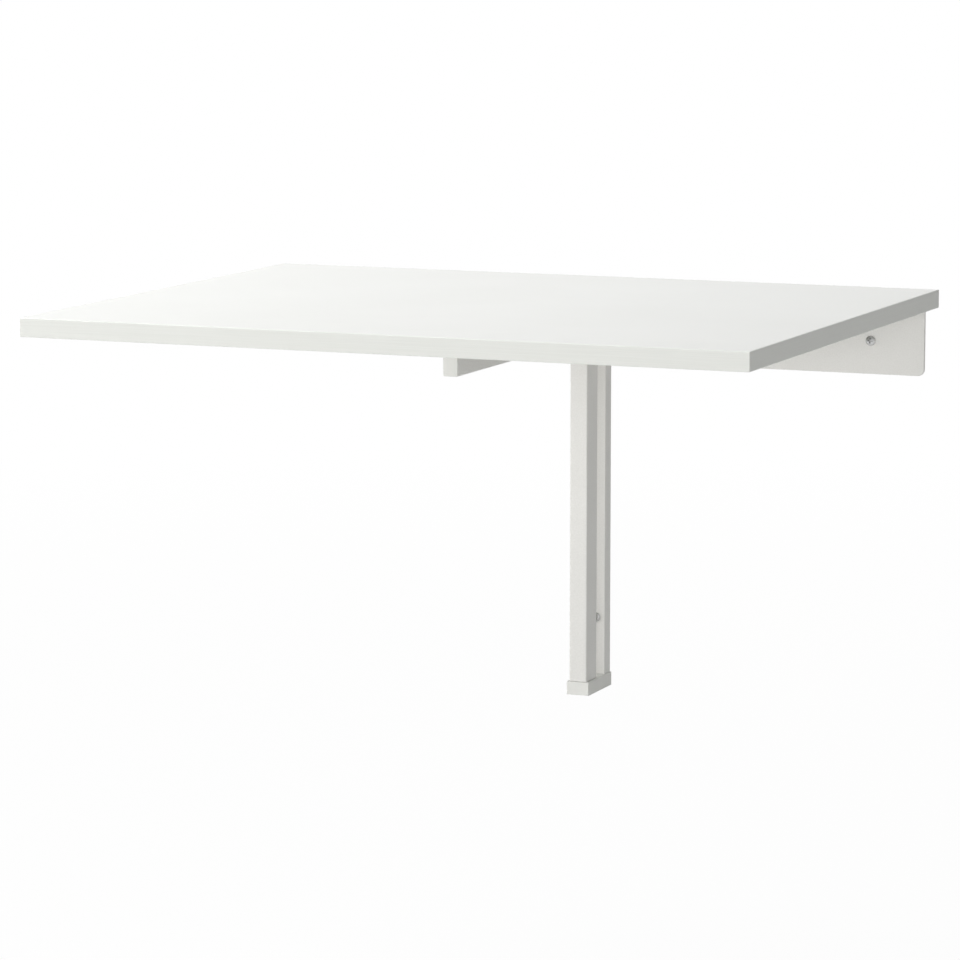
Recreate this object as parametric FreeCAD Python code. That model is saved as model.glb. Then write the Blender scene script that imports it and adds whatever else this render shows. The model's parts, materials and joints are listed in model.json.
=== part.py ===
import FreeCAD, Part
import os
from FreeCAD import Vector

# A wall mounted drop leaf table.  A steel rail and a column stand against the wall, a gate made
# of an upright tube and an arm swings out of the column, and a one-piece leaf rests on the arm.
#
# Millimetres.  +X runs along the wall, +Y goes into the wall and +Z is up.  The origin lies on
# the wall plane, midway along the rail, at the height of the rail's wall screws.  "Reach" is a
# distance from the wall into the room, and "drop" is a distance below the rail's screws.

# ---- leaf --------------------------------------------------------------------------------
LEAF_WIDTH = 740.0
LEAF_REACH = 600.0
LEAF_REAR_GAP = 4.0
LEAF_TOP_HEIGHT = 55.8
CORE_THICKNESS = 18.0
FOIL_THICKNESS = 0.4
BAND_THICKNESS = 1.5
LEAF_ARRIS = 1.2
LEAF_CORNER_CHAMFER = 0.5
LARGEST_ARRIS = 0.9

# ---- wall rail ---------------------------------------------------------------------------
RAIL_END_INSET = 15.0
RAIL_THICKNESS = 3.0
RAIL_BELOW_LEAF_TOP = 10.4
RAIL_DROP = 34.6
RAIL_CORNER_RADIUS = 7.0
RAIL_EDGE_BREAK = 0.6
LARGEST_EDGE_BREAK = 0.33
RAIL_SCREW_INSET = 57.5

# ---- column: channel on the wall and the bearing cap under it -----------------------------
# The channel, the bearing and the hinge brackets all end this far under the leaf.
SUPPORT_GAP = 3.4
PROFILE_WIDTH = 21.0
PROFILE_DEPTH = 16.0
PROFILE_WALL = 1.5
PROFILE_BEND = 1.0
LEAST_INNER_BEND = 0.3
UPPER_SCREW_DROP = 20.0
LOWER_SCREW_DROP = 307.5
CAP_HEIGHT = 14.3
CAP_BOTTOM_DROP = 382.9
CAP_FLOOR = 4.0
CAP_SIDE_LIP = 1.9
CAP_FRONT_LIP = 0.5
CAP_CORNER_RADIUS = 0.8
CAP_EDGE_CHAMFER = 0.6

# ---- gate: upright tube and arm ------------------------------------------------------------
GATE_AXIS_REACH = 53.0
TUBE_WIDTH = 19.6
TUBE_DEPTH = 30.0
TUBE_WALL = 1.5
TUBE_BEND = 1.5
ARM_WIDTH = 15.2
ARM_HEIGHT = 30.0
ARM_WALL = 1.5
ARM_BEND = 1.5
ARM_REACH = 413.2
ARM_TOP_GAP = 12.1
PLUG_INSERT = 20.0
PLUG_FLANGE = 2.0
END_CAP_INSERT = 10.0
END_CAP_FLANGE = 2.0
END_CAP_CHAMFER = 0.6
PAD_LENGTH = 40.0
PAD_ROUNDING = 3.0
PAD_PEG_DIAMETER = 6.0
PAD_PEG_LENGTH = 4.0

# ---- gate pivots -------------------------------------------------------------------------
PIVOT_DIAMETER = 8.0
PIVOT_STAND = 1.0
BUSH_WALL = 2.0
BUSH_FLANGE_WIDTH = 2.5
BUSH_STAND = 0.5
BEARING_THICKNESS = 3.0
BEARING_NOSE_WIDTH = 4.0
BEARING_TAB_HEIGHT = 30.0
BEARING_TAB_INSET = 1.5
BEARING_BEND = 1.5

# ---- leaf hinges -------------------------------------------------------------------------
HINGE_INSET = 130.0
HINGE_WIDTH = 50.0
HINGE_AHEAD = 7.0
HINGE_PIN_DIAMETER = 5.0
HINGE_PIN_HEAD_WIDTH = 1.2
HINGE_PIN_HEAD = 1.5
KNUCKLE_WALL = 2.0
MOVING_KNUCKLE = 17.4
BRACKET_THICKNESS = 3.0
BRACKET_TAB_HEIGHT = 34.0
BRACKET_BEND = 1.5
GUSSET_THICKNESS = 2.5
GUSSET_ROOM = 8.0
GUSSET_TAB_STEP = 4.0
PLATE_THICKNESS = 2.0
PLATE_LENGTH = 44.0
PLATE_CORNER_RADIUS = 6.0
PLATE_SCREW_SPACING = 32.0
PLATE_SCREW_EDGE = 14.0

# ---- fasteners ---------------------------------------------------------------------------
HEAD_TOP_SHARE = 0.76
WALL_SCREW_HEAD_DIAMETER = 10.4
WALL_SCREW_HEAD_HEIGHT = 3.0
WALL_SCREW_SHANK_DIAMETER = 5.2
WALL_SCREW_THREAD_DIAMETER = 4.8
WALL_SCREW_EMBEDMENT = 22.0
WALL_SCREW_HOLE_DIAMETER = 7.0
WOOD_SCREW_HEAD_DIAMETER = 7.6
WOOD_SCREW_HEAD_HEIGHT = 2.0
WOOD_SCREW_DIAMETER = 3.5
WOOD_SCREW_LENGTH = 14.0

# ---- clearances --------------------------------------------------------------------------
RUNNING_CLEARANCE = 0.05
AXIAL_GAP = 0.3
INSERT_GAP = 0.05
POCKET_GAP = 0.1
NOTCH_GAP = 0.3
SWING_GAP = 0.9
KNUCKLE_GAP = 0.3

# ---- places worked out from the sizes above ------------------------------------------------
WALL = 0.0
SAME_PLACE = 1e-6
leaf_thickness = CORE_THICKNESS + 2 * FOIL_THICKNESS
leaf_underside = LEAF_TOP_HEIGHT - leaf_thickness
leaf_side = LEAF_WIDTH / 2
leaf_front = -LEAF_REACH
leaf_rear = -LEAF_REAR_GAP
core_side = leaf_side - BAND_THICKNESS
core_front = leaf_front + BAND_THICKNESS
core_rear = leaf_rear - BAND_THICKNESS
core_bottom = leaf_underside + FOIL_THICKNESS
core_top = core_bottom + CORE_THICKNESS

rail_side = leaf_side - RAIL_END_INSET
rail_screw_x = rail_side - RAIL_SCREW_INSET
rail_front = -RAIL_THICKNESS
rail_top = LEAF_TOP_HEIGHT - RAIL_BELOW_LEAF_TOP
rail_bottom = -RAIL_DROP

support_top = leaf_underside - SUPPORT_GAP
web_front = -PROFILE_DEPTH
web_back = web_front + PROFILE_WALL
cap_bottom = -CAP_BOTTOM_DROP
cap_top = cap_bottom + CAP_HEIGHT
cap_pocket_floor = cap_bottom + CAP_FLOOR
cap_side = max(PROFILE_WIDTH, TUBE_WIDTH) / 2 + CAP_SIDE_LIP

gate_axis = -GATE_AXIS_REACH
tube_front = gate_axis - TUBE_DEPTH / 2
tube_back = gate_axis + TUBE_DEPTH / 2
tube_side = TUBE_WIDTH / 2
cap_front = tube_front - CAP_FRONT_LIP
arm_side = ARM_WIDTH / 2
arm_top = leaf_underside - ARM_TOP_GAP
arm_bottom = arm_top - ARM_HEIGHT
arm_tip = -ARM_REACH
arm_open_end = arm_tip + END_CAP_FLANGE
tube_top = arm_top
tube_bottom = cap_top + AXIAL_GAP
plug_top = tube_top + PLUG_FLANGE

pivot_radius = PIVOT_DIAMETER / 2
pivot_bore = pivot_radius + RUNNING_CLEARANCE
bush_radius = pivot_bore + BUSH_WALL
bush_flange_radius = bush_radius + BUSH_FLANGE_WIDTH
bearing_underside = support_top - BEARING_THICKNESS
bearing_nose = bush_flange_radius + BEARING_NOSE_WIDTH
bearing_tab_bottom = support_top - BEARING_TAB_HEIGHT
bush_top = support_top + BUSH_STAND

hinge_pin_radius = HINGE_PIN_DIAMETER / 2
knuckle_radius = hinge_pin_radius + KNUCKLE_WALL
hinge_axis_y = tube_front - HINGE_AHEAD
hinge_axis_z = leaf_underside - KNUCKLE_GAP - knuckle_radius
bracket_tab_front = rail_front - BRACKET_THICKNESS
bracket_underside = support_top - BRACKET_THICKNESS
bracket_tab_bottom = support_top - BRACKET_TAB_HEIGHT
gusset_bottom = arm_top + SWING_GAP
plate_rear = hinge_axis_y - knuckle_radius - KNUCKLE_GAP
plate_front = plate_rear - PLATE_LENGTH
plate_underside = leaf_underside - PLATE_THICKNESS
hinge_x = leaf_side - HINGE_INSET
hinge_places = {"left": -hinge_x, "right": hinge_x}

wall_hole_radius = WALL_SCREW_HOLE_DIAMETER / 2

ALONG_WALL = Vector(1, 0, 0)
INTO_WALL = Vector(0, 1, 0)
INTO_ROOM = Vector(0, -1, 0)
UP = Vector(0, 0, 1)
DOWN = Vector(0, 0, -1)


# ---- shapes that several pieces share --------------------------------------------------------
def block(x, y, z):
    """A box between two values along each axis."""
    low = Vector(min(x), min(y), min(z))
    return Part.makeBox(max(x) - low.x, max(y) - low.y, max(z) - low.z, low)


def rod(radius, start, end):
    """A round bar from one point to another."""
    run = end - start
    return Part.makeCylinder(radius, run.Length, start, run)


def edges_along(shape, direction, y=None, z=None):
    """The straight edges parallel to a direction: all of them, or those at a given y or z."""
    found = []
    for edge in shape.Edges:
        start = edge.Vertexes[0].Point
        span = edge.Vertexes[-1].Point - start
        straight = isinstance(edge.Curve, Part.Line)
        if not straight or span.cross(direction).Length > SAME_PLACE * span.Length:
            continue
        if y is not None and abs(start.y - y) > SAME_PLACE:
            continue
        if z is not None and abs(start.z - z) > SAME_PLACE:
            continue
        found.append(edge)
    return found


def edges_in_plane(shape, y=None, z=None):
    """The edges that lie in a plane across Y or Z."""
    if y is not None:
        return [edge for edge in shape.Edges if abs(edge.CenterOfMass.y - y) < SAME_PLACE]
    return [edge for edge in shape.Edges if abs(edge.CenterOfMass.z - z) < SAME_PLACE]


def rounded_bar(x, y, z, direction, radius):
    """A box whose four edges along one direction are rounded."""
    bar = block(x, y, z)
    return bar.makeFillet(radius, edges_along(bar, direction))


def inner_bend(wall, bend):
    """The inside radius of a bent corner, never quite sharp."""
    return max(bend - wall, LEAST_INNER_BEND)


def round_piece(outline, base, direction):
    """A turned piece from (radius, height) points, standing on a base point."""
    points = [Vector(radius, 0, height) for radius, height in outline]
    face = Part.Face(Part.makePolygon(points + points[:1]))
    turned = face.revolve(Vector(0, 0, 0), UP, 360)
    turned.Placement = FreeCAD.Placement(base, FreeCAD.Rotation(UP, direction))
    return turned


def group(solids):
    """Identical small pieces, kept as separate solids of one node."""
    return Part.makeCompound(solids)


def bent_strip(side, fold, end, low, top, thickness, bend):
    """A strip bent to a right angle: a tab hangs from the fold and a shelf runs out to an end."""
    front = fold - thickness
    underside = top - thickness
    tab = block((-side, side), (front, fold), (low, top))
    shelf = block((-side, side), (end, fold), (underside, top))
    strip = tab.fuse(shelf).removeSplitter()
    strip = strip.makeFillet(bend, edges_along(strip, ALONG_WALL, y=front, z=underside))
    return strip.makeFillet(bend + thickness, edges_along(strip, ALONG_WALL, y=fold, z=top))


def wall_screw(x, z, seat):
    """A wall screw: a sloping head on its seat and a free end that stands out of the wall plane."""
    shank = WALL_SCREW_SHANK_DIAMETER / 2
    thread = WALL_SCREW_THREAD_DIAMETER / 2
    depth = WALL - seat
    end = depth + WALL_SCREW_EMBEDMENT
    outline = [(0, 0), (shank, 0), (shank, depth), (thread, depth), (thread, end), (0, end)]
    body = round_piece(outline, Vector(x, seat, z), INTO_WALL)
    rim = WALL_SCREW_HEAD_DIAMETER / 2
    crown = HEAD_TOP_SHARE * rim
    head = Part.makeCone(rim, crown, WALL_SCREW_HEAD_HEIGHT, Vector(x, seat, z), INTO_ROOM)
    return head.fuse(body).removeSplitter()


def wall_hole(x, z, seat):
    """The clearance hole that a wall screw passes through."""
    return rod(wall_hole_radius, Vector(x, seat, z), Vector(x, WALL, z))


def tube_along_z(x_half, y, z, wall, bend):
    """An upright rectangular tube with rounded corners, open at both ends."""
    outer = rounded_bar((-x_half, x_half), y, z, UP, bend)
    return outer.cut(tube_bore(x_half, y, z, wall, 0.0))


def tube_bore(x_half, y, z, wall, gap):
    """The space inside an upright tube, made smaller all round by a gap."""
    inset = wall + gap
    inner_x = x_half - inset
    inner_y = (min(y) + inset, max(y) - inset)
    return block((-inner_x, inner_x), inner_y, z)


# ---- leaf --------------------------------------------------------------------------------
def leaf_core():
    """Particle board with a pilot hole for each hinge screw."""
    core = block((-core_side, core_side), (core_front, core_rear), (core_bottom, core_top))
    return core.cut(hinge_screws())


def leaf_top_foil():
    """The white facing on top of the board, between the edge bands."""
    return block(
        (-core_side, core_side), (core_front, core_rear), (core_top, LEAF_TOP_HEIGHT)
    )


def leaf_bottom_foil():
    """The white facing under the board, with a hole for each hinge screw."""
    foil = block(
        (-core_side, core_side), (core_front, core_rear), (leaf_underside, core_bottom)
    )
    return foil.cut(hinge_screws())


def edge_bands():
    """The four edge bands, cut from one softly rounded slab so that their arrises meet."""
    height = (leaf_underside, LEAF_TOP_HEIGHT)
    full = (-leaf_side, leaf_side)
    outline = block(full, (leaf_front, leaf_rear), height)
    rims = edges_in_plane(outline, z=LEAF_TOP_HEIGHT) + edges_in_plane(outline, z=leaf_underside)
    slab = outline.makeFillet(min(LEAF_ARRIS, LARGEST_ARRIS * BAND_THICKNESS), rims)
    slab = slab.common(outline.makeChamfer(LEAF_CORNER_CHAMFER, edges_along(outline, UP)))
    return {
        "edge_band_front": slab.common(block(full, (leaf_front, core_front), height)),
        "edge_band_rear": slab.common(block(full, (core_rear, leaf_rear), height)),
        "edge_band_left": slab.common(
            block((-leaf_side, -core_side), (core_front, core_rear), height)
        ),
        "edge_band_right": slab.common(
            block((core_side, leaf_side), (core_front, core_rear), height)
        ),
    }


# ---- wall rail and column --------------------------------------------------------------------
def wall_rail():
    """The steel plate on the wall, with its screw holes."""
    plate = rounded_bar(
        (-rail_side, rail_side),
        (rail_front, WALL),
        (rail_bottom, rail_top),
        INTO_WALL,
        RAIL_CORNER_RADIUS,
    )
    edge_break = min(RAIL_EDGE_BREAK, LARGEST_EDGE_BREAK * RAIL_THICKNESS)
    plate = plate.makeChamfer(edge_break, edges_in_plane(plate, y=rail_front))
    for x in (-rail_screw_x, rail_screw_x):
        plate = plate.cut(wall_hole(x, 0.0, rail_front))
    return plate.cut(wall_hole(0.0, -UPPER_SCREW_DROP, rail_front))


def channel(z, gap):
    """The column's channel section, open to the wall and thickened all round by a gap."""
    side = PROFILE_WIDTH / 2
    room = side - PROFILE_WALL - gap
    outer = block((-side - gap, side + gap), (web_front - gap, WALL), z)
    outer = outer.makeFillet(PROFILE_BEND, edges_along(outer, UP, y=web_front - gap))
    inner = block((-room, room), (web_back + gap, WALL), z)
    corner = inner_bend(PROFILE_WALL, PROFILE_BEND)
    inner = inner.makeFillet(corner, edges_along(inner, UP, y=web_back + gap))
    return outer.cut(inner)


def column_profile():
    """The upright channel, notched at the top to stand over the rail."""
    profile = channel((cap_pocket_floor, support_top), 0.0)
    side = PROFILE_WIDTH
    notch = block(
        (-side, side), (rail_front, WALL), (rail_bottom - NOTCH_GAP, support_top)
    )
    profile = profile.cut(notch)
    for drop in (UPPER_SCREW_DROP, LOWER_SCREW_DROP):
        profile = profile.cut(wall_hole(0.0, -drop, web_front))
    return profile


def column_cap():
    """The moulded foot: a pocket for the channel and a blind bore for the gate's lower pivot."""
    cap = rounded_bar(
        (-cap_side, cap_side), (cap_front, WALL), (cap_bottom, cap_top), UP, CAP_CORNER_RADIUS
    )
    rim = edges_in_plane(cap, z=cap_top)
    rim = [edge for edge in rim if edge.CenterOfMass.y < WALL - SAME_PLACE]
    cap = cap.makeChamfer(CAP_EDGE_CHAMFER, rim)
    cap = cap.cut(channel((cap_pocket_floor, cap_top), POCKET_GAP))
    bore = rod(pivot_bore, Vector(0, gate_axis, cap_pocket_floor), Vector(0, gate_axis, cap_top))
    return cap.cut(bore)


# ---- upper bearing of the gate -----------------------------------------------------------------
def upper_bearing():
    """A bent bracket: a tab welded to the channel's web and a round nose over the gate's axis."""
    bracket = bent_strip(
        PROFILE_WIDTH / 2 - BEARING_TAB_INSET,
        web_front,
        gate_axis,
        bearing_tab_bottom,
        support_top,
        BEARING_THICKNESS,
        BEARING_BEND,
    )
    nose = Part.makeCylinder(
        bearing_nose, BEARING_THICKNESS, Vector(0, gate_axis, bearing_underside)
    )
    bracket = bracket.fuse(nose).removeSplitter()
    return bracket.cut(
        rod(bush_radius, Vector(0, gate_axis, bearing_underside), Vector(0, gate_axis, support_top))
    )


def upper_bush():
    """A flanged plastic bush, pushed up into the bearing's hole."""
    low = plug_top + AXIAL_GAP
    outline = [
        (pivot_bore, low),
        (bush_flange_radius, low),
        (bush_flange_radius, bearing_underside),
        (bush_radius, bearing_underside),
        (bush_radius, bush_top),
        (pivot_bore, bush_top),
    ]
    return round_piece(outline, Vector(0, gate_axis, 0), UP)


# ---- gate ----------------------------------------------------------------------------------
def gate_tube():
    """The gate's upright."""
    return tube_along_z(
        tube_side, (tube_front, tube_back), (tube_bottom, tube_top), TUBE_WALL, TUBE_BEND
    )


def gate_arm():
    """The gate's arm, welded to the front of the upright, with a hole for the pad's peg."""
    run = (arm_open_end, tube_front)
    rise = (arm_bottom, arm_top)
    outer = rounded_bar((-arm_side, arm_side), run, rise, INTO_WALL, ARM_BEND)
    arm = outer.cut(arm_bore(run, 0.0))
    peg_hole = rod(
        PAD_PEG_DIAMETER / 2,
        Vector(0, peg_y(), arm_top - ARM_WALL),
        Vector(0, peg_y(), arm_top),
    )
    return arm.cut(peg_hole)


def arm_bore(run, gap):
    """The space inside the arm, made smaller all round by a gap."""
    inset = ARM_WALL + gap
    side = arm_side - inset
    rise = (arm_bottom + inset, arm_top - inset)
    return block((-side, side), run, rise)


def arm_end_cap():
    """The plug in the arm's front end, with a flange as large as the arm."""
    flange = rounded_bar(
        (-arm_side, arm_side), (arm_tip, arm_open_end), (arm_bottom, arm_top), INTO_WALL, ARM_BEND
    )
    flange = flange.makeChamfer(END_CAP_CHAMFER, edges_in_plane(flange, y=arm_tip))
    insert = arm_bore((arm_open_end, arm_open_end + END_CAP_INSERT), INSERT_GAP)
    return flange.fuse(insert).removeSplitter()


def peg_y():
    """Where the pad's peg enters the arm, just behind the end cap's insert."""
    return arm_open_end + END_CAP_INSERT + PAD_PEG_DIAMETER


def arm_pad():
    """The block on the arm's tip that the leaf rests on, rounded so that it slides in under it."""
    pad_top = leaf_underside - AXIAL_GAP
    run = (arm_open_end, arm_open_end + PAD_LENGTH)
    pad = block((-arm_side, arm_side), run, (arm_top, pad_top))
    pad = pad.makeFillet(PAD_ROUNDING, edges_along(pad, INTO_WALL, z=pad_top))
    peg = rod(
        PAD_PEG_DIAMETER / 2 - INSERT_GAP,
        Vector(0, peg_y(), arm_top - PAD_PEG_LENGTH),
        Vector(0, peg_y(), arm_top),
    )
    return pad.fuse(peg).removeSplitter()


def tube_top_plug():
    """The flanged plug in the upright's top, bored for the upper pivot."""
    flange = rounded_bar(
        (-tube_side, tube_side), (tube_front, tube_back), (tube_top, plug_top), UP, TUBE_BEND
    )
    insert = tube_bore(
        tube_side,
        (tube_front, tube_back),
        (tube_top - PLUG_INSERT, tube_top),
        TUBE_WALL,
        INSERT_GAP,
    )
    return flange.fuse(insert).removeSplitter().cut(upper_pivot_pin())


def tube_bottom_plug():
    """The plug in the upright's bottom, flush with its end and bored for the lower pivot."""
    insert = tube_bore(
        tube_side,
        (tube_front, tube_back),
        (tube_bottom, tube_bottom + PLUG_INSERT),
        TUBE_WALL,
        INSERT_GAP,
    )
    return insert.cut(lower_pivot_pin())


def upper_pivot_pin():
    """The pin that turns in the bush over the upright."""
    return rod(
        pivot_radius,
        Vector(0, gate_axis, tube_top - PLUG_INSERT),
        Vector(0, gate_axis, bush_top + PIVOT_STAND),
    )


def lower_pivot_pin():
    """The pin that turns in the cap under the upright."""
    return rod(
        pivot_radius,
        Vector(0, gate_axis, cap_pocket_floor + AXIAL_GAP),
        Vector(0, gate_axis, tube_bottom + PLUG_INSERT),
    )


# ---- leaf hinges -------------------------------------------------------------------------
def hinge_bracket(centre):
    """A bent bracket welded to the rail, with two gussets and an eye at each side."""
    side = HINGE_WIDTH / 2
    bracket = bent_strip(
        side,
        rail_front,
        hinge_axis_y,
        bracket_tab_bottom,
        support_top,
        BRACKET_THICKNESS,
        BRACKET_BEND,
    )
    eye = Part.makeCylinder(
        knuckle_radius, HINGE_WIDTH, Vector(-side, hinge_axis_y, hinge_axis_z), ALONG_WALL
    )
    bracket = bracket.fuse(eye)
    for edge in (-side, side - GUSSET_THICKNESS):
        bracket = bracket.fuse(gusset(edge))
    bracket = bracket.removeSplitter().cut(hinge_bore(0.0, side))
    bracket = bracket.cut(moving_knuckle_slot())
    bracket.translate(Vector(centre, 0, 0))
    return bracket


def gusset(left):
    """A tapered rib between the bracket's tab and its shelf, clear of the folded arm."""
    toe = gate_axis + ARM_WIDTH / 2 + GUSSET_ROOM
    end = hinge_axis_y + knuckle_radius
    outline = [
        Vector(left, bracket_tab_front, bracket_underside),
        Vector(left, bracket_tab_front, bracket_tab_bottom + GUSSET_TAB_STEP),
        Vector(left, toe, gusset_bottom),
        Vector(left, end, gusset_bottom),
        Vector(left, end, bracket_underside),
    ]
    face = Part.Face(Part.makePolygon(outline + outline[:1]))
    return face.extrude(Vector(GUSSET_THICKNESS, 0, 0))


def hinge_bore(gap, side):
    """The hole through a knuckle, from one side of the hinge to the other."""
    return rod(
        hinge_pin_radius + gap,
        Vector(-side, hinge_axis_y, hinge_axis_z),
        Vector(side, hinge_axis_y, hinge_axis_z),
    )


def moving_knuckle_slot():
    """The gap in the bracket that the moving knuckle turns in."""
    side = MOVING_KNUCKLE / 2 + KNUCKLE_GAP
    reach = knuckle_radius + KNUCKLE_GAP
    return block(
        (-side, side),
        (hinge_axis_y - reach, hinge_axis_y + reach),
        (hinge_axis_z - 2 * reach, hinge_axis_z + 2 * reach),
    )


def hinge_plate(centre):
    """The moving half of a hinge: a plate under the leaf that ends in a rolled knuckle."""
    side = HINGE_WIDTH / 2
    knuckle = MOVING_KNUCKLE / 2
    plate = block((-side, side), (plate_front, plate_rear), (plate_underside, leaf_underside))
    plate = plate.makeFillet(PLATE_CORNER_RADIUS, edges_along(plate, UP, y=plate_front))
    tongue = block(
        (-knuckle, knuckle), (plate_rear, hinge_axis_y), (plate_underside, leaf_underside)
    )
    eye = Part.makeCylinder(
        knuckle_radius, MOVING_KNUCKLE, Vector(-knuckle, hinge_axis_y, hinge_axis_z), ALONG_WALL
    )
    plate = plate.fuse(tongue).fuse(eye).removeSplitter()
    plate = plate.cut(hinge_bore(RUNNING_CLEARANCE, knuckle))
    for x, y in plate_screw_offsets():
        hole = rod(
            WOOD_SCREW_DIAMETER / 2, Vector(x, y, plate_underside), Vector(x, y, leaf_underside)
        )
        plate = plate.cut(hole)
    plate.translate(Vector(centre, 0, 0))
    return plate


def hinge_pin(centre):
    """A pin through both halves of a hinge, with a low head at its left end."""
    side = HINGE_WIDTH / 2
    head = hinge_pin_radius + HINGE_PIN_HEAD_WIDTH
    length = HINGE_WIDTH
    outline = [
        (0, -HINGE_PIN_HEAD),
        (head, -HINGE_PIN_HEAD),
        (head, 0),
        (hinge_pin_radius, 0),
        (hinge_pin_radius, length),
        (0, length),
    ]
    return round_piece(outline, Vector(centre - side, hinge_axis_y, hinge_axis_z), ALONG_WALL)


def plate_screw_offsets():
    """The two wood screws of one hinge plate, about the plate's middle."""
    y = plate_front + PLATE_SCREW_EDGE
    half = PLATE_SCREW_SPACING / 2
    return [(-half, y), (half, y)]


def plate_screw_places():
    return [
        (centre + x, y) for centre in hinge_places.values() for x, y in plate_screw_offsets()
    ]


def wood_screw(x, y):
    """A flat-topped screw, driven up through a hinge plate into the board."""
    base = Vector(x, y, plate_underside)
    shank = rod(WOOD_SCREW_DIAMETER / 2, base, base + UP * WOOD_SCREW_LENGTH)
    head = rod(WOOD_SCREW_HEAD_DIAMETER / 2, base, base + DOWN * WOOD_SCREW_HEAD_HEIGHT)
    return head.fuse(shank).removeSplitter()


def hinge_screws():
    return group([wood_screw(x, y) for x, y in plate_screw_places()])


# ---- wall screws -------------------------------------------------------------------------
def rail_screws():
    return group([wall_screw(x, 0.0, rail_front) for x in (-rail_screw_x, rail_screw_x)])


def column_screws():
    return group(
        [wall_screw(0.0, -drop, web_front) for drop in (UPPER_SCREW_DROP, LOWER_SCREW_DROP)]
    )


# ---- every node ----------------------------------------------------------------------------
def nodes():
    pieces = {
        "wall_rail": wall_rail(),
        "column_profile": column_profile(),
        "column_cap": column_cap(),
        "upper_bearing": upper_bearing(),
        "upper_bush": upper_bush(),
        "rail_screws": rail_screws(),
        "column_screws": column_screws(),
        "gate_tube": gate_tube(),
        "gate_arm": gate_arm(),
        "arm_end_cap": arm_end_cap(),
        "arm_pad": arm_pad(),
        "tube_top_plug": tube_top_plug(),
        "tube_bottom_plug": tube_bottom_plug(),
        "upper_pivot_pin": upper_pivot_pin(),
        "lower_pivot_pin": lower_pivot_pin(),
        "leaf_core": leaf_core(),
        "leaf_top_foil": leaf_top_foil(),
        "leaf_bottom_foil": leaf_bottom_foil(),
        "hinge_screws": hinge_screws(),
    }
    pieces.update(edge_bands())
    for name, centre in hinge_places.items():
        pieces[f"hinge_bracket_{name}"] = hinge_bracket(centre)
        pieces[f"hinge_pin_{name}"] = hinge_pin(centre)
        pieces[f"hinge_plate_{name}"] = hinge_plate(centre)
    return pieces


os.makedirs("parts", exist_ok=True)
for name, shape in nodes().items():
    shape.exportStep(f"parts/{name}.step")
    print(name, len(shape.Solids), round(shape.Volume, 1))
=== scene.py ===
import json
import math

import bmesh
import bpy
from mathutils import Matrix, Vector


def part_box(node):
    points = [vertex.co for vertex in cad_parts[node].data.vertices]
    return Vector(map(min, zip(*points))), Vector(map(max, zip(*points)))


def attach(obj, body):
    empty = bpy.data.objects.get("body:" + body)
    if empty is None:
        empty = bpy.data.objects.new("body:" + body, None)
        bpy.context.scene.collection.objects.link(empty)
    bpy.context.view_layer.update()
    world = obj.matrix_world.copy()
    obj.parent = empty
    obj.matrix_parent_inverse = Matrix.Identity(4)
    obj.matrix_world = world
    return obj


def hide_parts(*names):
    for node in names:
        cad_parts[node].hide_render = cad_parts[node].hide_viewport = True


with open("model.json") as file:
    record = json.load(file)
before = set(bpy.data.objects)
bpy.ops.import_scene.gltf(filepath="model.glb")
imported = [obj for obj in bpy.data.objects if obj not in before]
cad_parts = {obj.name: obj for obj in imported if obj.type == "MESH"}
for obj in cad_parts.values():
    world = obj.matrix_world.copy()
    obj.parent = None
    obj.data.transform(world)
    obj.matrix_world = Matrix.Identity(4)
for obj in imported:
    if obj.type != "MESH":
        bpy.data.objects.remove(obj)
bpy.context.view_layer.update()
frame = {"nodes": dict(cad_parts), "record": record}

# ---- places and sizes, in metres: +X along the wall, +Y into it, +Z up -----------------------
mounts = {mount["name"]: mount for mount in frame["record"]["mounts"]}
rail_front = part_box("wall_rail")[0].y
profile_low, profile_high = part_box("column_profile")
bearing_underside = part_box("upper_bearing")[0].z
tube_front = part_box("gate_tube")[0].y
arm_low, arm_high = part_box("gate_arm")
wall_screws_low, wall_screws_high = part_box("column_screws")
wood_screws_low, wood_screws_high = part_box("hinge_screws")
brackets = [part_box("hinge_bracket_left"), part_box("hinge_bracket_right")]
leaf_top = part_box("leaf_top_foil")[1].z

# Wall screws. The tip stays just inside the wall side of the frame's own screw.
WALL_HEAD_RADIUS = wall_screws_high.x
WALL_HEAD_HEIGHT = profile_low.y - wall_screws_low.y
WALL_NECK_RADIUS = 0.0026
WALL_NECK_TAPER = 0.0004
WALL_CORE_RADIUS = 0.0017
WALL_THREAD_RADIUS = mounts["rail_screw_left"]["dims"]["r_mm"] / 1000
WALL_THREAD_PITCH = 0.0019
WALL_THREAD_PAST_CORE = 0.0015
WALL_POINT = 0.0045
TIP_INSET = 0.00005
INTO_WALL = Matrix.Rotation(math.radians(-90), 4, "X")

# Wood screws, from the frame's hinge screws: their heads lie under the hinge plates.
WOOD_HEAD_RADIUS = (wood_screws_high.y - wood_screws_low.y) / 2
WOOD_HEAD_HEIGHT = 0.0020
WOOD_SHANK_RADIUS = 0.00175
WOOD_POINT = 0.0040
plate_underside = wood_screws_low.z + WOOD_HEAD_HEIGHT
wood_screw_reach = wood_screws_high.z - plate_underside

# How far a shank reaches up into its head.
NECK_SUNK = 0.0004

# Shares of a head's height: its crown, the eased edge of its seat and the depth of its cross.
WALL_CROWN = 0.72
WOOD_CROWN = 0.45
SEAT_EASE = 0.12
CROSS_DEPTH = 0.75

# Shares of a head's radius, then of the cross's own length, and of its size at the mouth.
SEAT_RADIUS = 0.97
CROSS_LENGTH = 1.54
CROSS_WIDTH = 0.20
CROSS_FLOOR_LENGTH = 0.45
CROSS_FLOOR_WIDTH = 0.6

# Threads: the root's radius as a share of the core's, the width as a share of the pitch.
THREAD_ROOT = 0.94
THREAD_WIDTH = 0.48

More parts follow.
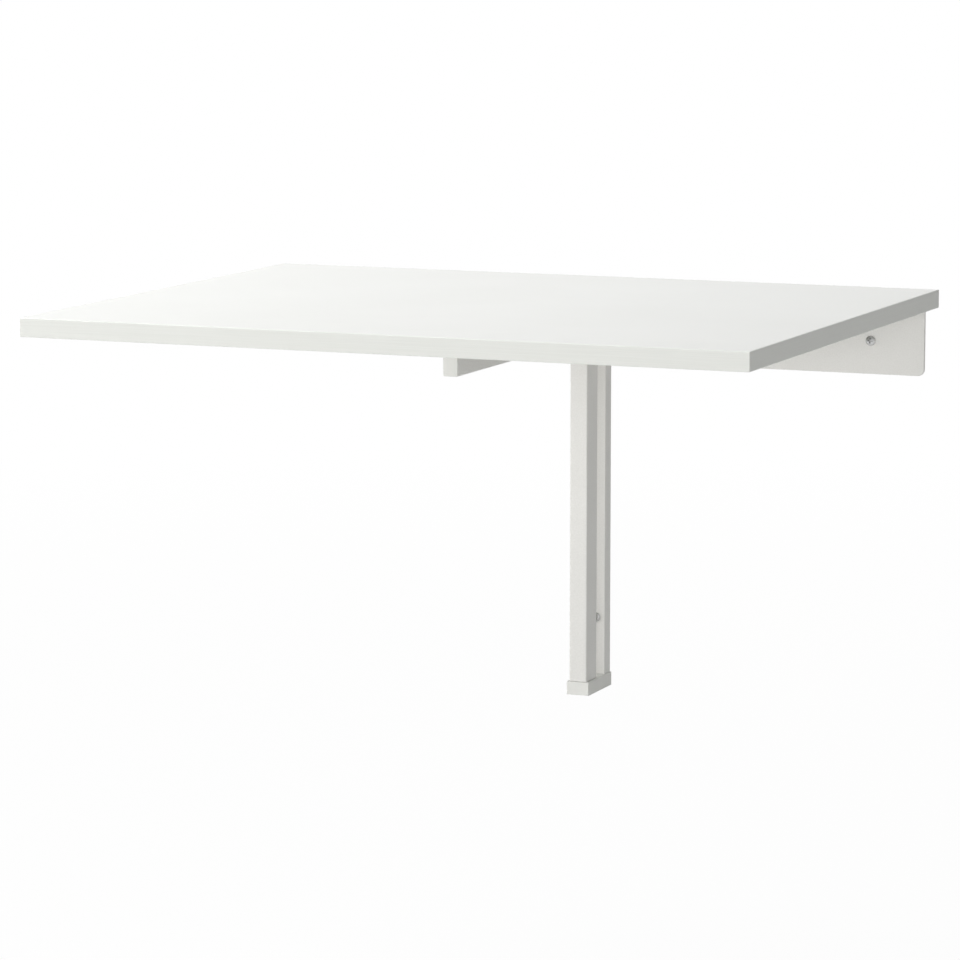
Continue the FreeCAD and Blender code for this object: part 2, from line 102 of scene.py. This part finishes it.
# Steps round a turned shape, round one turn of thread and up a crown.
HEAD_STEPS = 40
WALL_SHANK_STEPS = 24
WOOD_SHANK_STEPS = 20
THREAD_STEPS = 20
CROWN_STEPS = 8

# How far each screw's cross is turned, in radians.
RAIL_SCREW_TURNS = {"rail_screw_left": 0.9, "rail_screw_right": 0.08}
COLUMN_SCREW_TURNS = {"column_screw_upper": 0.2, "column_screw_lower": 0.6}
HINGE_SCREW_TURNS = (0.1, 0.7, 0.4, 1.1)

# Welds. Ripples are spaced by a share of the bead's radius and swell and shrink along the run.
ARM_WELD_RADIUS = 0.0013
BRACKET_WELD_RADIUS = 0.0015
BEARING_WELD_RADIUS = 0.0012
WELD_END_INSET = 0.002
RIPPLE_SPACING = 0.55
RIPPLE_SWELL = 0.08
RIPPLE_BEAT = 2.4
RIPPLE_FLATTENING = (1.0, 1.0, 0.8)
TAB_BEND_ROOM = 0.0056
BEARING_TAB_INSET = 0.0015
tab_top = profile_high.z - TAB_BEND_ROOM
bearing_half_width = profile_high.x - BEARING_TAB_INSET

SHARP_ANGLE = math.radians(35)
MERGE_DISTANCE = 1e-7

# The room, the floor and the camera. The floor turns wholly white between its two distances. The
# camera's angles are in degrees, its lens and film in millimetres.
ROOM_COLOUR = (0.98, 1.0, 0.98, 1.0)
ROOM_STRENGTH = 0.223
WHITE = (1.0, 1.0, 1.0, 1.0)
WHITE_STRENGTH = 1.0
LEAF_ABOVE_FLOOR = 0.740
FLOOR_REACH = 60.0
FLOOR_COLOUR = (0.80, 0.80, 0.79, 1.0)
FLOOR_FADE_START = 0.8
FLOOR_FADE_END = 4.0
FLOOR_WHITENESS = 0.96
CAMERA_PLACE = (1.59282, -4.18198, 0.49502)
CAMERA_DOWN = 8.361
CAMERA_LEFT = 22.506
CAMERA_LENS = 159.354
CAMERA_FILM = 36.0

# Each lamp: its place, what it points at, its width and height, its watts, and whether gloss
# mirrors it. The low lamps aren't mirrored, since they would glare on the leaf seen from behind.
LAMPS = {
    "front_lamp": ((0.3, -4.6, -0.1), (0.0, -0.3, -0.1), (3.0, 1.0), 38.3, False),
    "front_right_lamp": ((1.9, -3.4, 0.75), (0.1, -0.2, 0.0), (1.0, 0.8), 14.2, False),
    "left_lamp": ((-3.6, -2.6, 0.3), (0.0, -0.3, 0.0), (2.0, 1.6), 72.3, False),
    "top_lamp": ((-1.6, -0.4, 3.2), (-0.1, -0.3, 0.0), (2.6, 2.2), 88.4, True),
    "near_top_lamp": ((-1.0, -0.5, 1.3), (-0.2, -0.3, 0.0), (1.0, 0.8), 5.6, True),
}


# ---- finishes --------------------------------------------------------------------------------
def start_finish(name):
    """A new material with its tree, its shader and the place on the piece that patterns follow."""
    material = bpy.data.materials.new(name)
    material.use_nodes = True
    tree = material.node_tree
    place = tree.nodes.new("ShaderNodeTexCoord")
    return material, tree, tree.nodes["Principled BSDF"], place.outputs["Object"]


def grain(tree, place, scale, detail, stretch=(1.0, 1.0, 1.0)):
    """Soft random grain, which a stretch draws out into streaks."""
    mapping = tree.nodes.new("ShaderNodeMapping")
    mapping.inputs["Scale"].default_value = stretch
    noise = tree.nodes.new("ShaderNodeTexNoise")
    noise.inputs["Scale"].default_value = scale
    noise.inputs["Detail"].default_value = detail
    tree.links.new(place, mapping.inputs["Vector"])
    tree.links.new(mapping.outputs["Vector"], noise.inputs["Vector"])
    return noise.outputs["Fac"]


def pits(tree, place, scale, smoothness):
    """Rounded cells, as in spark texture, orange peel or pressed chips."""
    cells = tree.nodes.new("ShaderNodeTexVoronoi")
    cells.feature = "SMOOTH_F1"
    cells.inputs["Scale"].default_value = scale
    cells.inputs["Smoothness"].default_value = smoothness
    tree.links.new(place, cells.inputs["Vector"])
    return cells.outputs["Distance"]


def colour_between(tree, shader, pattern, dark, light):
    """Runs the colour between two shades over the middle of the pattern."""
    ramp = tree.nodes.new("ShaderNodeValToRGB")
    ramp.color_ramp.elements[0].position = 0.35
    ramp.color_ramp.elements[1].position = 0.65
    ramp.color_ramp.elements[0].color = (*dark, 1.0)
    ramp.color_ramp.elements[1].color = (*light, 1.0)
    tree.links.new(pattern, ramp.inputs["Fac"])
    tree.links.new(ramp.outputs["Color"], shader.inputs["Base Color"])


def roughness_between(tree, shader, pattern, least, most):
    """Runs the roughness between two values over the middle of the pattern."""
    span = tree.nodes.new("ShaderNodeMapRange")
    span.inputs["From Min"].default_value = 0.3
    span.inputs["From Max"].default_value = 0.7
    span.inputs["To Min"].default_value = least
    span.inputs["To Max"].default_value = most
    tree.links.new(pattern, span.inputs["Value"])
    tree.links.new(span.outputs["Result"], shader.inputs["Roughness"])


def relief(tree, shader, pattern, strength, depth, under=None):
    """Raises the surface where the pattern is light. Another relief may lie under it."""
    bump = tree.nodes.new("ShaderNodeBump")
    bump.inputs["Strength"].default_value = strength
    bump.inputs["Distance"].default_value = depth
    tree.links.new(pattern, bump.inputs["Height"])
    if under is not None:
        tree.links.new(under, bump.inputs["Normal"])
    tree.links.new(bump.outputs["Normal"], shader.inputs["Normal"])
    return bump.outputs["Normal"]


def white_facing():
    """Silk melamine: an even white with a faint orange peel and the board's slow waves under it."""
    material, tree, shader, place = start_finish("white_facing")
    shader.inputs["Specular IOR Level"].default_value = 0.4
    slow = grain(tree, place, scale=5.0, detail=3.0)
    fine = grain(tree, place, scale=1400.0, detail=3.0)
    colour_between(tree, shader, slow, dark=(0.806, 0.808, 0.786), light=(0.826, 0.828, 0.808))
    roughness_between(tree, shader, fine, least=0.34, most=0.46)
    swell = grain(tree, place, scale=26.0, detail=2.0)
    waves = relief(tree, shader, swell, strength=0.10, depth=0.0004)
    relief(tree, shader, fine, strength=0.16, depth=0.00012, under=waves)
    return material


def white_edge_band():
    """Edge band: the facing's white, drawn out along the band as it came off the roll."""
    material, tree, shader, place = start_finish("white_edge_band")
    shader.inputs["Specular IOR Level"].default_value = 0.25
    drawn = grain(tree, place, scale=240.0, detail=3.0, stretch=(0.06, 0.06, 6.0))
    colour_between(tree, shader, drawn, dark=(0.784, 0.790, 0.757), light=(0.809, 0.815, 0.783))
    roughness_between(tree, shader, drawn, least=0.32, most=0.44)
    first = relief(tree, shader, drawn, strength=0.10, depth=0.0001)
    fine = grain(tree, place, scale=1500.0, detail=2.0)
    relief(tree, shader, fine, strength=0.12, depth=0.0001, under=first)
    return material


def white_powder_coat():
    """Powder coat: small rounded orange peel, with specks of thicker and thinner coat."""
    material, tree, shader, place = start_finish("white_powder_coat")
    shader.inputs["Specular IOR Level"].default_value = 0.5
    specks = grain(tree, place, scale=700.0, detail=4.0)
    colour_between(tree, shader, specks, dark=(0.800, 0.789, 0.763), light=(0.836, 0.826, 0.801))
    flow = grain(tree, place, scale=300.0, detail=3.0)
    roughness_between(tree, shader, flow, least=0.36, most=0.52)
    cells = pits(tree, place, scale=900.0, smoothness=0.6)
    peel = relief(tree, shader, cells, strength=0.22, depth=0.00018)
    relief(tree, shader, specks, strength=0.10, depth=0.0001, under=peel)
    return material


def white_moulding():
    """Moulded plastic with the fine even sparkle that the mould leaves on it."""
    material, tree, shader, place = start_finish("white_moulding")
    shader.inputs["Specular IOR Level"].default_value = 0.65
    flow = grain(tree, place, scale=60.0, detail=3.0, stretch=(1.0, 1.0, 0.3))
    colour_between(tree, shader, flow, dark=(0.800, 0.800, 0.768), light=(0.826, 0.825, 0.794))
    spark = pits(tree, place, scale=2200.0, smoothness=0.3)
    roughness_between(tree, shader, spark, least=0.46, most=0.60)
    relief(tree, shader, spark, strength=0.20, depth=0.00008)
    return material


def natural_nylon():
    """Uncoloured nylon: a milky body that lets a little light through."""
    material, tree, shader, place = start_finish("natural_nylon")
    shader.inputs["Subsurface Weight"].default_value = 0.25
    shader.inputs["Subsurface Radius"].default_value = (0.004, 0.0035, 0.003)
    milk = grain(tree, place, scale=120.0, detail=3.0)
    colour_between(tree, shader, milk, dark=(0.600, 0.600, 0.552), light=(0.660, 0.660, 0.612))
    roughness_between(tree, shader, milk, least=0.38, most=0.50)
    fine = grain(tree, place, scale=1100.0, detail=2.0)
    relief(tree, shader, fine, strength=0.12, depth=0.0001)
    return material


def bright_zinc():
    """Zinc plate: bright metal with a faint yellow and blue bloom and fine drawn lines."""
    material, tree, shader, place = start_finish("bright_zinc")
    shader.inputs["Metallic"].default_value = 1.0
    bloom = grain(tree, place, scale=220.0, detail=4.0)
    colour_between(tree, shader, bloom, dark=(0.427, 0.427, 0.409), light=(0.561, 0.567, 0.567))
    lines = grain(tree, place, scale=1600.0, detail=3.0, stretch=(1.0, 0.08, 1.0))
    roughness_between(tree, shader, lines, least=0.18, most=0.34)
    relief(tree, shader, lines, strength=0.12, depth=0.00006)
    return material


def chipboard():
    """Raw particle board: pale pressed chips of several shades with dark gaps between them."""
    material, tree, shader, place = start_finish("chipboard")
    chips = pits(tree, place, scale=420.0, smoothness=0.15)
    shades = grain(tree, place, scale=260.0, detail=5.0, stretch=(1.0, 1.0, 2.5))
    colour_between(tree, shader, shades, dark=(0.340, 0.235, 0.130), light=(0.620, 0.480, 0.310))
    roughness_between(tree, shader, chips, least=0.75, most=0.92)
    relief(tree, shader, chips, strength=0.5, depth=0.0005)
    return material


# ---- shapes ----------------------------------------------------------------------------------
def finished_piece(name, shape, material, body, replaced=()):
    """Turns a shape into a piece that rides on its body and stands for its nodes."""
    bmesh.ops.recalc_face_normals(shape, faces=shape.faces)
    piece = loose_object(name, shape)
    mesh = piece.data
    mesh.materials.append(material)
    mesh.shade_smooth()
    mesh.set_sharp_from_angle(angle=SHARP_ANGLE)
    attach(piece, body)
    if replaced:
        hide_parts(*replaced)


def loose_object(name, shape):
    """An object of a shape, which it uses up. It rides on nothing yet."""
    mesh = bpy.data.meshes.new(name)
    shape.to_mesh(mesh)
    shape.free()
    made = bpy.data.objects.new(name, mesh)
    bpy.context.scene.collection.objects.link(made)
    return made


def add_shape(whole, part, matrix=Matrix.Identity(4)):
    """Adds a shape to another one, moved by a matrix, and uses it up."""
    mesh = bpy.data.meshes.new("part")
    bmesh.ops.transform(part, matrix=matrix, verts=part.verts)
    part.to_mesh(mesh)
    part.free()
    whole.from_mesh(mesh)
    bpy.data.meshes.remove(mesh)


def cut_away(shape, cutters):
    """The shape with every cutter's space taken out of it."""
    body = loose_object("being_cut", shape)
    tools = [loose_object("cutter", cutter) for cutter in cutters]
    for tool in tools:
        cut = body.modifiers.new("cut", "BOOLEAN")
        cut.operation = "DIFFERENCE"
        cut.solver = "EXACT"
        cut.object = tool
    bpy.context.view_layer.update()
    depsgraph = bpy.context.evaluated_depsgraph_get()
    mesh = bpy.data.meshes.new_from_object(body.evaluated_get(depsgraph))
    for used in (body, *tools):
        bpy.data.objects.remove(used)
    result = bmesh.new()
    result.from_mesh(mesh)
    bpy.data.meshes.remove(mesh)
    return result


def turned_shape(outline, steps):
    """A turned shape about Z from (radius, height) points that start and end on the axis."""
    shape = bmesh.new()
    rim = [shape.verts.new((radius, 0.0, height)) for radius, height in outline]
    edges = [shape.edges.new(pair) for pair in zip(rim, rim[1:])]
    bmesh.ops.spin(
        shape,
        geom=rim + edges,
        cent=(0, 0, 0),
        axis=(0, 0, 1),
        angle=math.tau,
        steps=steps,
        use_merge=True,
    )
    bmesh.ops.remove_doubles(shape, verts=shape.verts, dist=MERGE_DISTANCE)
    bmesh.ops.recalc_face_normals(shape, faces=shape.faces)
    return shape


def recess_wing(length, width, depth, top, turn):
    """One tapered wing of a cross recess, as the driver's blade would cut it."""
    wing = bmesh.new()
    bmesh.ops.create_cube(wing, size=1.0)
    for vert in wing.verts:
        deep = vert.co.z > 0
        vert.co.x *= length * (CROSS_FLOOR_LENGTH if deep else 1.0)
        vert.co.y *= width * (CROSS_FLOOR_WIDTH if deep else 1.0)
        vert.co.z = top + depth if deep else top - depth
    bmesh.ops.rotate(wing, verts=wing.verts, cent=(0, 0, 0), matrix=Matrix.Rotation(turn, 3, "Z"))
    return wing


def screw_head(radius, height, crown, turn):
    """A screw's head, top down along -Z: a crowned top, its share of the height, and a cross."""
    rim = height * (1 - crown)
    outline = [
        (0.0, 0.0),
        (radius * SEAT_RADIUS, 0.0),
        (radius, -SEAT_EASE * height),
        (radius, -rim),
    ]
    for step in range(1, CROWN_STEPS):
        angle = math.pi / 2 * step / CROWN_STEPS
        outline.append((radius * math.cos(angle), -rim - height * crown * math.sin(angle)))
    outline.append((0.0, -height))
    length = radius * CROSS_LENGTH
    width = length * CROSS_WIDTH
    wings = [
        recess_wing(length, width, height * CROSS_DEPTH, -height, turn + quarter)
        for quarter in (0.0, math.pi / 2)
    ]
    return cut_away(turned_shape(outline, HEAD_STEPS), wings)


def thread(core, crest, start, end, pitch):
    """A sharp thread wound round a shank, with its root sunk in it."""
    ridge = bmesh.new()
    width = pitch * THREAD_WIDTH
    profile = [
        ridge.verts.new((core * THREAD_ROOT, 0.0, start)),
        ridge.verts.new((crest, 0.0, start + width / 2)),
        ridge.verts.new((core * THREAD_ROOT, 0.0, start + width)),
    ]
    loop = [ridge.edges.new(pair) for pair in zip(profile, profile[1:] + profile[:1])]
    turns = (end - start) / pitch - 1
    steps = int(turns * THREAD_STEPS)
    bmesh.ops.spin(
        ridge,
        geom=profile + loop,
        cent=(0, 0, 0),
        axis=(0, 0, 1),
        dvec=(0, 0, pitch / THREAD_STEPS),
        angle=math.tau * steps / THREAD_STEPS,
        steps=steps,
    )
    bmesh.ops.holes_fill(ridge, edges=[edge for edge in ridge.edges if edge.is_boundary])
    bmesh.ops.recalc_face_normals(ridge, faces=ridge.faces)
    return ridge


def wall_screw(seat_depth, turn):
    """A domed wall screw along +Z from its seat: head, neck, threaded shank and point."""
    end = seat_depth + wall_screws_high.y - TIP_INSET
    core_start = seat_depth + WALL_NECK_TAPER
    core_end = end - WALL_POINT
    screw = bmesh.new()
    add_shape(screw, screw_head(WALL_HEAD_RADIUS, WALL_HEAD_HEIGHT, WALL_CROWN, turn))
    shank = [
        (0.0, -NECK_SUNK),
        (WALL_NECK_RADIUS, -NECK_SUNK),
        (WALL_NECK_RADIUS, seat_depth),
        (WALL_CORE_RADIUS, core_start),
        (WALL_CORE_RADIUS, core_end),
        (0.0, end),
    ]
    add_shape(screw, turned_shape(shank, WALL_SHANK_STEPS))
    thread_end = core_end + WALL_THREAD_PAST_CORE
    ridge = thread(WALL_CORE_RADIUS, WALL_THREAD_RADIUS, core_start, thread_end, WALL_THREAD_PITCH)
    add_shape(screw, ridge)
    return screw


def wood_screw(turn):
    """A low-headed wood screw along +Z from its seat."""
    screw = bmesh.new()
    add_shape(screw, screw_head(WOOD_HEAD_RADIUS, WOOD_HEAD_HEIGHT, WOOD_CROWN, turn))
    shank = [
        (0.0, -NECK_SUNK),
        (WOOD_SHANK_RADIUS, -NECK_SUNK),
        (WOOD_SHANK_RADIUS, wood_screw_reach - WOOD_POINT),
        (0.0, wood_screw_reach),
    ]
    add_shape(screw, turned_shape(shank, WOOD_SHANK_STEPS))
    return screw


def weld_bead(start, end, radius):
    """A run of weld: a row of flattened ripples, each lapped over the last."""
    bead = bmesh.new()
    run = end - start
    count = max(int(run.length / (radius * RIPPLE_SPACING)), 2)
    for index in range(count + 1):
        ripple = bmesh.new()
        size = radius * (1.0 + RIPPLE_SWELL * math.sin(index * RIPPLE_BEAT))
        bmesh.ops.create_icosphere(ripple, subdivisions=2, radius=size)
        bmesh.ops.scale(ripple, vec=RIPPLE_FLATTENING, verts=ripple.verts)
        add_shape(bead, ripple, Matrix.Translation(start + run * (index / count)))
    return bead


def upright_beads(x_places, y, bottom, top, radius):
    """Upright runs of weld along both sides of a part."""
    beads = bmesh.new()
    for x in x_places:
        low = Vector((x, y, bottom + WELD_END_INSET))
        add_shape(beads, weld_bead(low, Vector((x, y, top)), radius))
    return beads


# ---- pieces ----------------------------------------------------------------------------------
def make_wall_screws(node, seat, turns, zinc):
    """The screws of one node, each at the mount of the same name, with heads on the seat."""
    screws = bmesh.new()
    for mount_name, turn in turns.items():
        x, _, z = mounts[mount_name]["pos_m"]
        place = Matrix.Translation((x, seat, z)) @ INTO_WALL
        add_shape(screws, wall_screw(-seat, turn), place)
    finished_piece(node + "_cross_head", screws, zinc, "wall_frame", [node])


def make_hinge_screws(zinc):
    """Two wood screws through each hinge plate, as far in from its ends as the outermost one."""
    screws = bmesh.new()
    turns = iter(HINGE_SCREW_TURNS)
    row = (wood_screws_low.y + wood_screws_high.y) / 2
    for low, high in brackets:
        middle = (low.x + high.x) / 2
        spread = wood_screws_high.x - WOOD_HEAD_RADIUS - abs(middle)
        for x in (middle - spread, middle + spread):
            place = Matrix.Translation((x, row, plate_underside))
            add_shape(screws, wood_screw(next(turns)), place)
    finished_piece(
        "hinge_screws_cross_head", screws, zinc, "leaf", ["hinge_screws"]
    )


def make_arm_weld(coat):
    """The beads round the arm's end, where it meets the upright."""
    sides = (arm_low.x, arm_high.x)
    side_top = arm_high.z - WELD_END_INSET
    beads = upright_beads(sides, tube_front, arm_low.z, side_top, ARM_WELD_RADIUS)
    left = Vector((arm_low.x + WELD_END_INSET, tube_front, arm_low.z))
    right = Vector((arm_high.x - WELD_END_INSET, tube_front, arm_low.z))
    add_shape(beads, weld_bead(left, right, ARM_WELD_RADIUS))
    finished_piece("arm_weld", beads, coat, "gate")


def make_bracket_welds(coat):
    """The beads that hold the hinge brackets to the rail."""
    sides = [corner.x for bracket in brackets for corner in bracket]
    bottom = brackets[0][0].z
    beads = upright_beads(sides, rail_front, bottom, tab_top, BRACKET_WELD_RADIUS)
    finished_piece("bracket_welds", beads, coat, "wall_frame")


def make_bearing_welds(coat):
    """The beads that hold the upper bearing to the column."""
    sides = (-bearing_half_width, bearing_half_width)
    beads = upright_beads(sides, profile_low.y, bearing_underside, tab_top, BEARING_WELD_RADIUS)
    finished_piece("bearing_welds", beads, coat, "wall_frame")


def finish_nodes(finishes):
    """Gives every piece of the frame its finish, by the slot that the record names."""
    slot_of = {part["node"]: part["material_slot"] for part in frame["record"]["subparts"]}
    for name, node in frame["nodes"].items():
        for slot in node.material_slots:
            slot.material = finishes[slot_of[name]]


# ---- studio ----------------------------------------------------------------------------------
def seen_directly(tree):
    """1 for what the camera sees straight, in a gloss or through glass, and 0 for the rest."""
    path = tree.nodes.new("ShaderNodeLightPath")
    total = path.outputs["Is Camera Ray"]
    for name in ("Is Glossy Ray", "Is Transmission Ray"):
        either = tree.nodes.new("ShaderNodeMath")
        either.operation = "MAXIMUM"
        tree.links.new(total, either.inputs[0])
        tree.links.new(path.outputs[name], either.inputs[1])
        total = either.outputs[0]
    return total


def mixed(tree, share, first, second):
    """The first shader where the share is 0, and the second one where it is 1."""
    mix = tree.nodes.new("ShaderNodeMixShader")
    tree.links.new(share, mix.inputs["Fac"])
    tree.links.new(first.outputs[0], mix.inputs[1])
    tree.links.new(second.outputs[0], mix.inputs[2])
    return mix


def make_world():
    """An even pale room that lights the table softly and shows white."""
    world = bpy.data.worlds.new("pale_room")
    world.use_nodes = True
    bpy.context.scene.world = world
    tree = world.node_tree
    room = tree.nodes["Background"]
    room.inputs["Color"].default_value = ROOM_COLOUR
    room.inputs["Strength"].default_value = ROOM_STRENGTH
    white = tree.nodes.new("ShaderNodeBackground")
    white.inputs["Color"].default_value = WHITE
    white.inputs["Strength"].default_value = WHITE_STRENGTH
    mix = mixed(tree, seen_directly(tree), room, white)
    tree.links.new(mix.outputs[0], tree.nodes["World Output"].inputs["Surface"])


def whiteness_with_distance(tree):
    """How white the floor shows: its own paint counts a little near the table, and fades out."""
    place = tree.nodes.new("ShaderNodeTexCoord")
    distance = tree.nodes.new("ShaderNodeVectorMath")
    distance.operation = "LENGTH"
    tree.links.new(place.outputs["Object"], distance.inputs[0])
    fade = tree.nodes.new("ShaderNodeMapRange")
    fade.inputs["From Min"].default_value = FLOOR_FADE_START
    fade.inputs["From Max"].default_value = FLOOR_FADE_END
    fade.inputs["To Min"].default_value = FLOOR_WHITENESS
    fade.inputs["To Max"].default_value = 1.0
    tree.links.new(distance.outputs["Value"], fade.inputs["Value"])
    return fade.outputs["Result"]


def pale_floor():
    """Pale paint that shows white but keeps a soft shadow. From underneath it is clear."""
    material = bpy.data.materials.new("pale_floor")
    material.use_nodes = True
    tree = material.node_tree
    paint = tree.nodes.new("ShaderNodeBsdfDiffuse")
    paint.inputs["Color"].default_value = FLOOR_COLOUR
    white = tree.nodes.new("ShaderNodeEmission")
    white.inputs["Strength"].default_value = WHITE_STRENGTH
    share = tree.nodes.new("ShaderNodeMath")
    share.operation = "MULTIPLY"
    tree.links.new(seen_directly(tree), share.inputs[0])
    tree.links.new(whiteness_with_distance(tree), share.inputs[1])
    from_above = mixed(tree, share.outputs[0], paint, white)
    clear = tree.nodes.new("ShaderNodeBsdfTransparent")
    facing = tree.nodes.new("ShaderNodeNewGeometry")
    one_sided = mixed(tree, facing.outputs["Backfacing"], from_above, clear)
    tree.links.new(one_sided.outputs[0], tree.nodes["Material Output"].inputs["Surface"])
    return material


def make_floor():
    """A wide floor at a dining table's height below the leaf."""
    shape = bmesh.new()
    bmesh.ops.create_grid(shape, x_segments=8, y_segments=8, size=FLOOR_REACH)
    bmesh.ops.translate(shape, verts=shape.verts, vec=(0.0, 0.0, leaf_top - LEAF_ABOVE_FLOOR))
    floor = loose_object("studio_floor", shape)
    floor.data.materials.append(pale_floor())


def make_lamp(name, place, target, size, watts, mirrored):
    """A large soft lamp that points at a place on the table and may be kept out of its gloss."""
    lamp = bpy.data.lights.new(name, "AREA")
    lamp.shape = "RECTANGLE"
    lamp.size, lamp.size_y = size
    lamp.energy = watts
    holder = bpy.data.objects.new(name, lamp)
    holder.location = place
    aim = Vector(target) - Vector(place)
    holder.rotation_euler = aim.to_track_quat("-Z", "Y").to_euler()
    holder.visible_glossy = mirrored
    bpy.context.scene.collection.objects.link(holder)


def make_camera():
    """A long lens at the front right, a little above the leaf."""
    lens = bpy.data.cameras.new("camera")
    lens.sensor_width = CAMERA_FILM
    lens.lens = CAMERA_LENS
    camera = bpy.data.objects.new("camera", lens)
    camera.location = CAMERA_PLACE
    camera.rotation_euler = (math.radians(90 - CAMERA_DOWN), 0.0, math.radians(CAMERA_LEFT))
    bpy.context.scene.collection.objects.link(camera)
    bpy.context.scene.camera = camera


finishes = {
    "white_steel": white_powder_coat(),
    "white_plastic": white_moulding(),
    "natural_nylon": natural_nylon(),
    "zinc_steel": bright_zinc(),
    "white_foil": white_facing(),
    "white_edge_band": white_edge_band(),
    "particle_board": chipboard(),
}
finish_nodes(finishes)
zinc, coat = finishes["zinc_steel"], finishes["white_steel"]
make_wall_screws("rail_screws", rail_front, RAIL_SCREW_TURNS, zinc)
make_wall_screws("column_screws", profile_low.y, COLUMN_SCREW_TURNS, zinc)
make_hinge_screws(zinc)
make_arm_weld(coat)
make_bracket_welds(coat)
make_bearing_welds(coat)

make_world()
make_floor()
for name, settings in LAMPS.items():
    make_lamp(name, *settings)
make_camera()
bpy.context.scene.view_settings.view_transform = "Standard"
